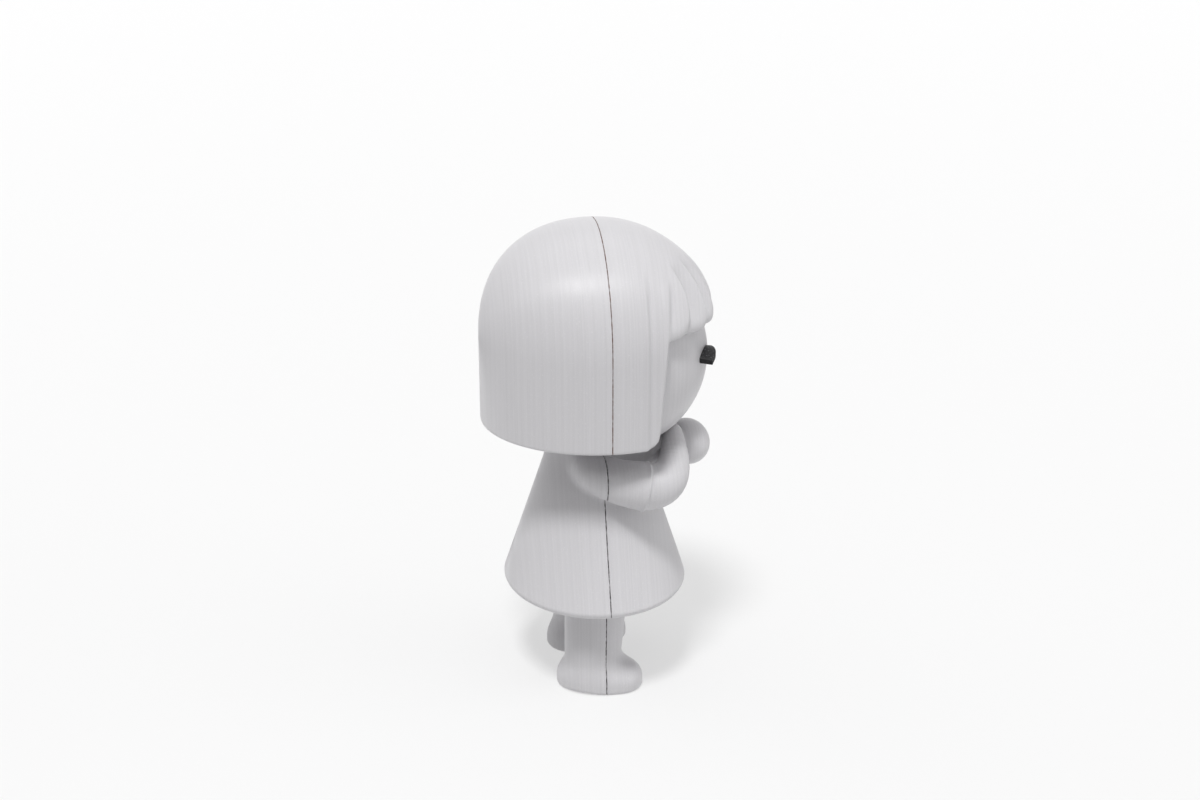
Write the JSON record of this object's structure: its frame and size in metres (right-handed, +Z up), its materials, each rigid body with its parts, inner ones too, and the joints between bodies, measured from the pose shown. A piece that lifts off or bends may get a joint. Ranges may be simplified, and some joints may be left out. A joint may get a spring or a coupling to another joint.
{
  "type": "desk figurine",
  "caption": "Small printed doll figurine with a bobbed head, flared dress and clasped hands, built from front and rear shells that register on pins across one parting plane",
  "frame": {"origin": "On the floor, below the middle of the figure", "axes": "+Z up, the figure faces -Y, its own right side is -X; the parting plane is y = 0"},
  "size_m": [0.034, 0.0343, 0.07],
  "materials": {
    "printed_grey": "satin printed plastic with fine layer lines",
    "eye_black": "satin printed plastic",
    "pin_grey": "plain printed plastic"
  },
  "bodies": {
    "root": {"head_rear": "printed_grey", "head_front": "printed_grey", "body_rear": "printed_grey", "body_front": "printed_grey", "right_eye": "eye_black", "left_eye": "eye_black", "neck_peg": "pin_grey", "head_pin_right": "pin_grey", "head_pin_left": "pin_grey", "waist_pin_right": "pin_grey", "waist_pin_left": "pin_grey", "leg_pin_right": "pin_grey", "leg_pin_left": "pin_grey"}
  },
  "joints": []
}
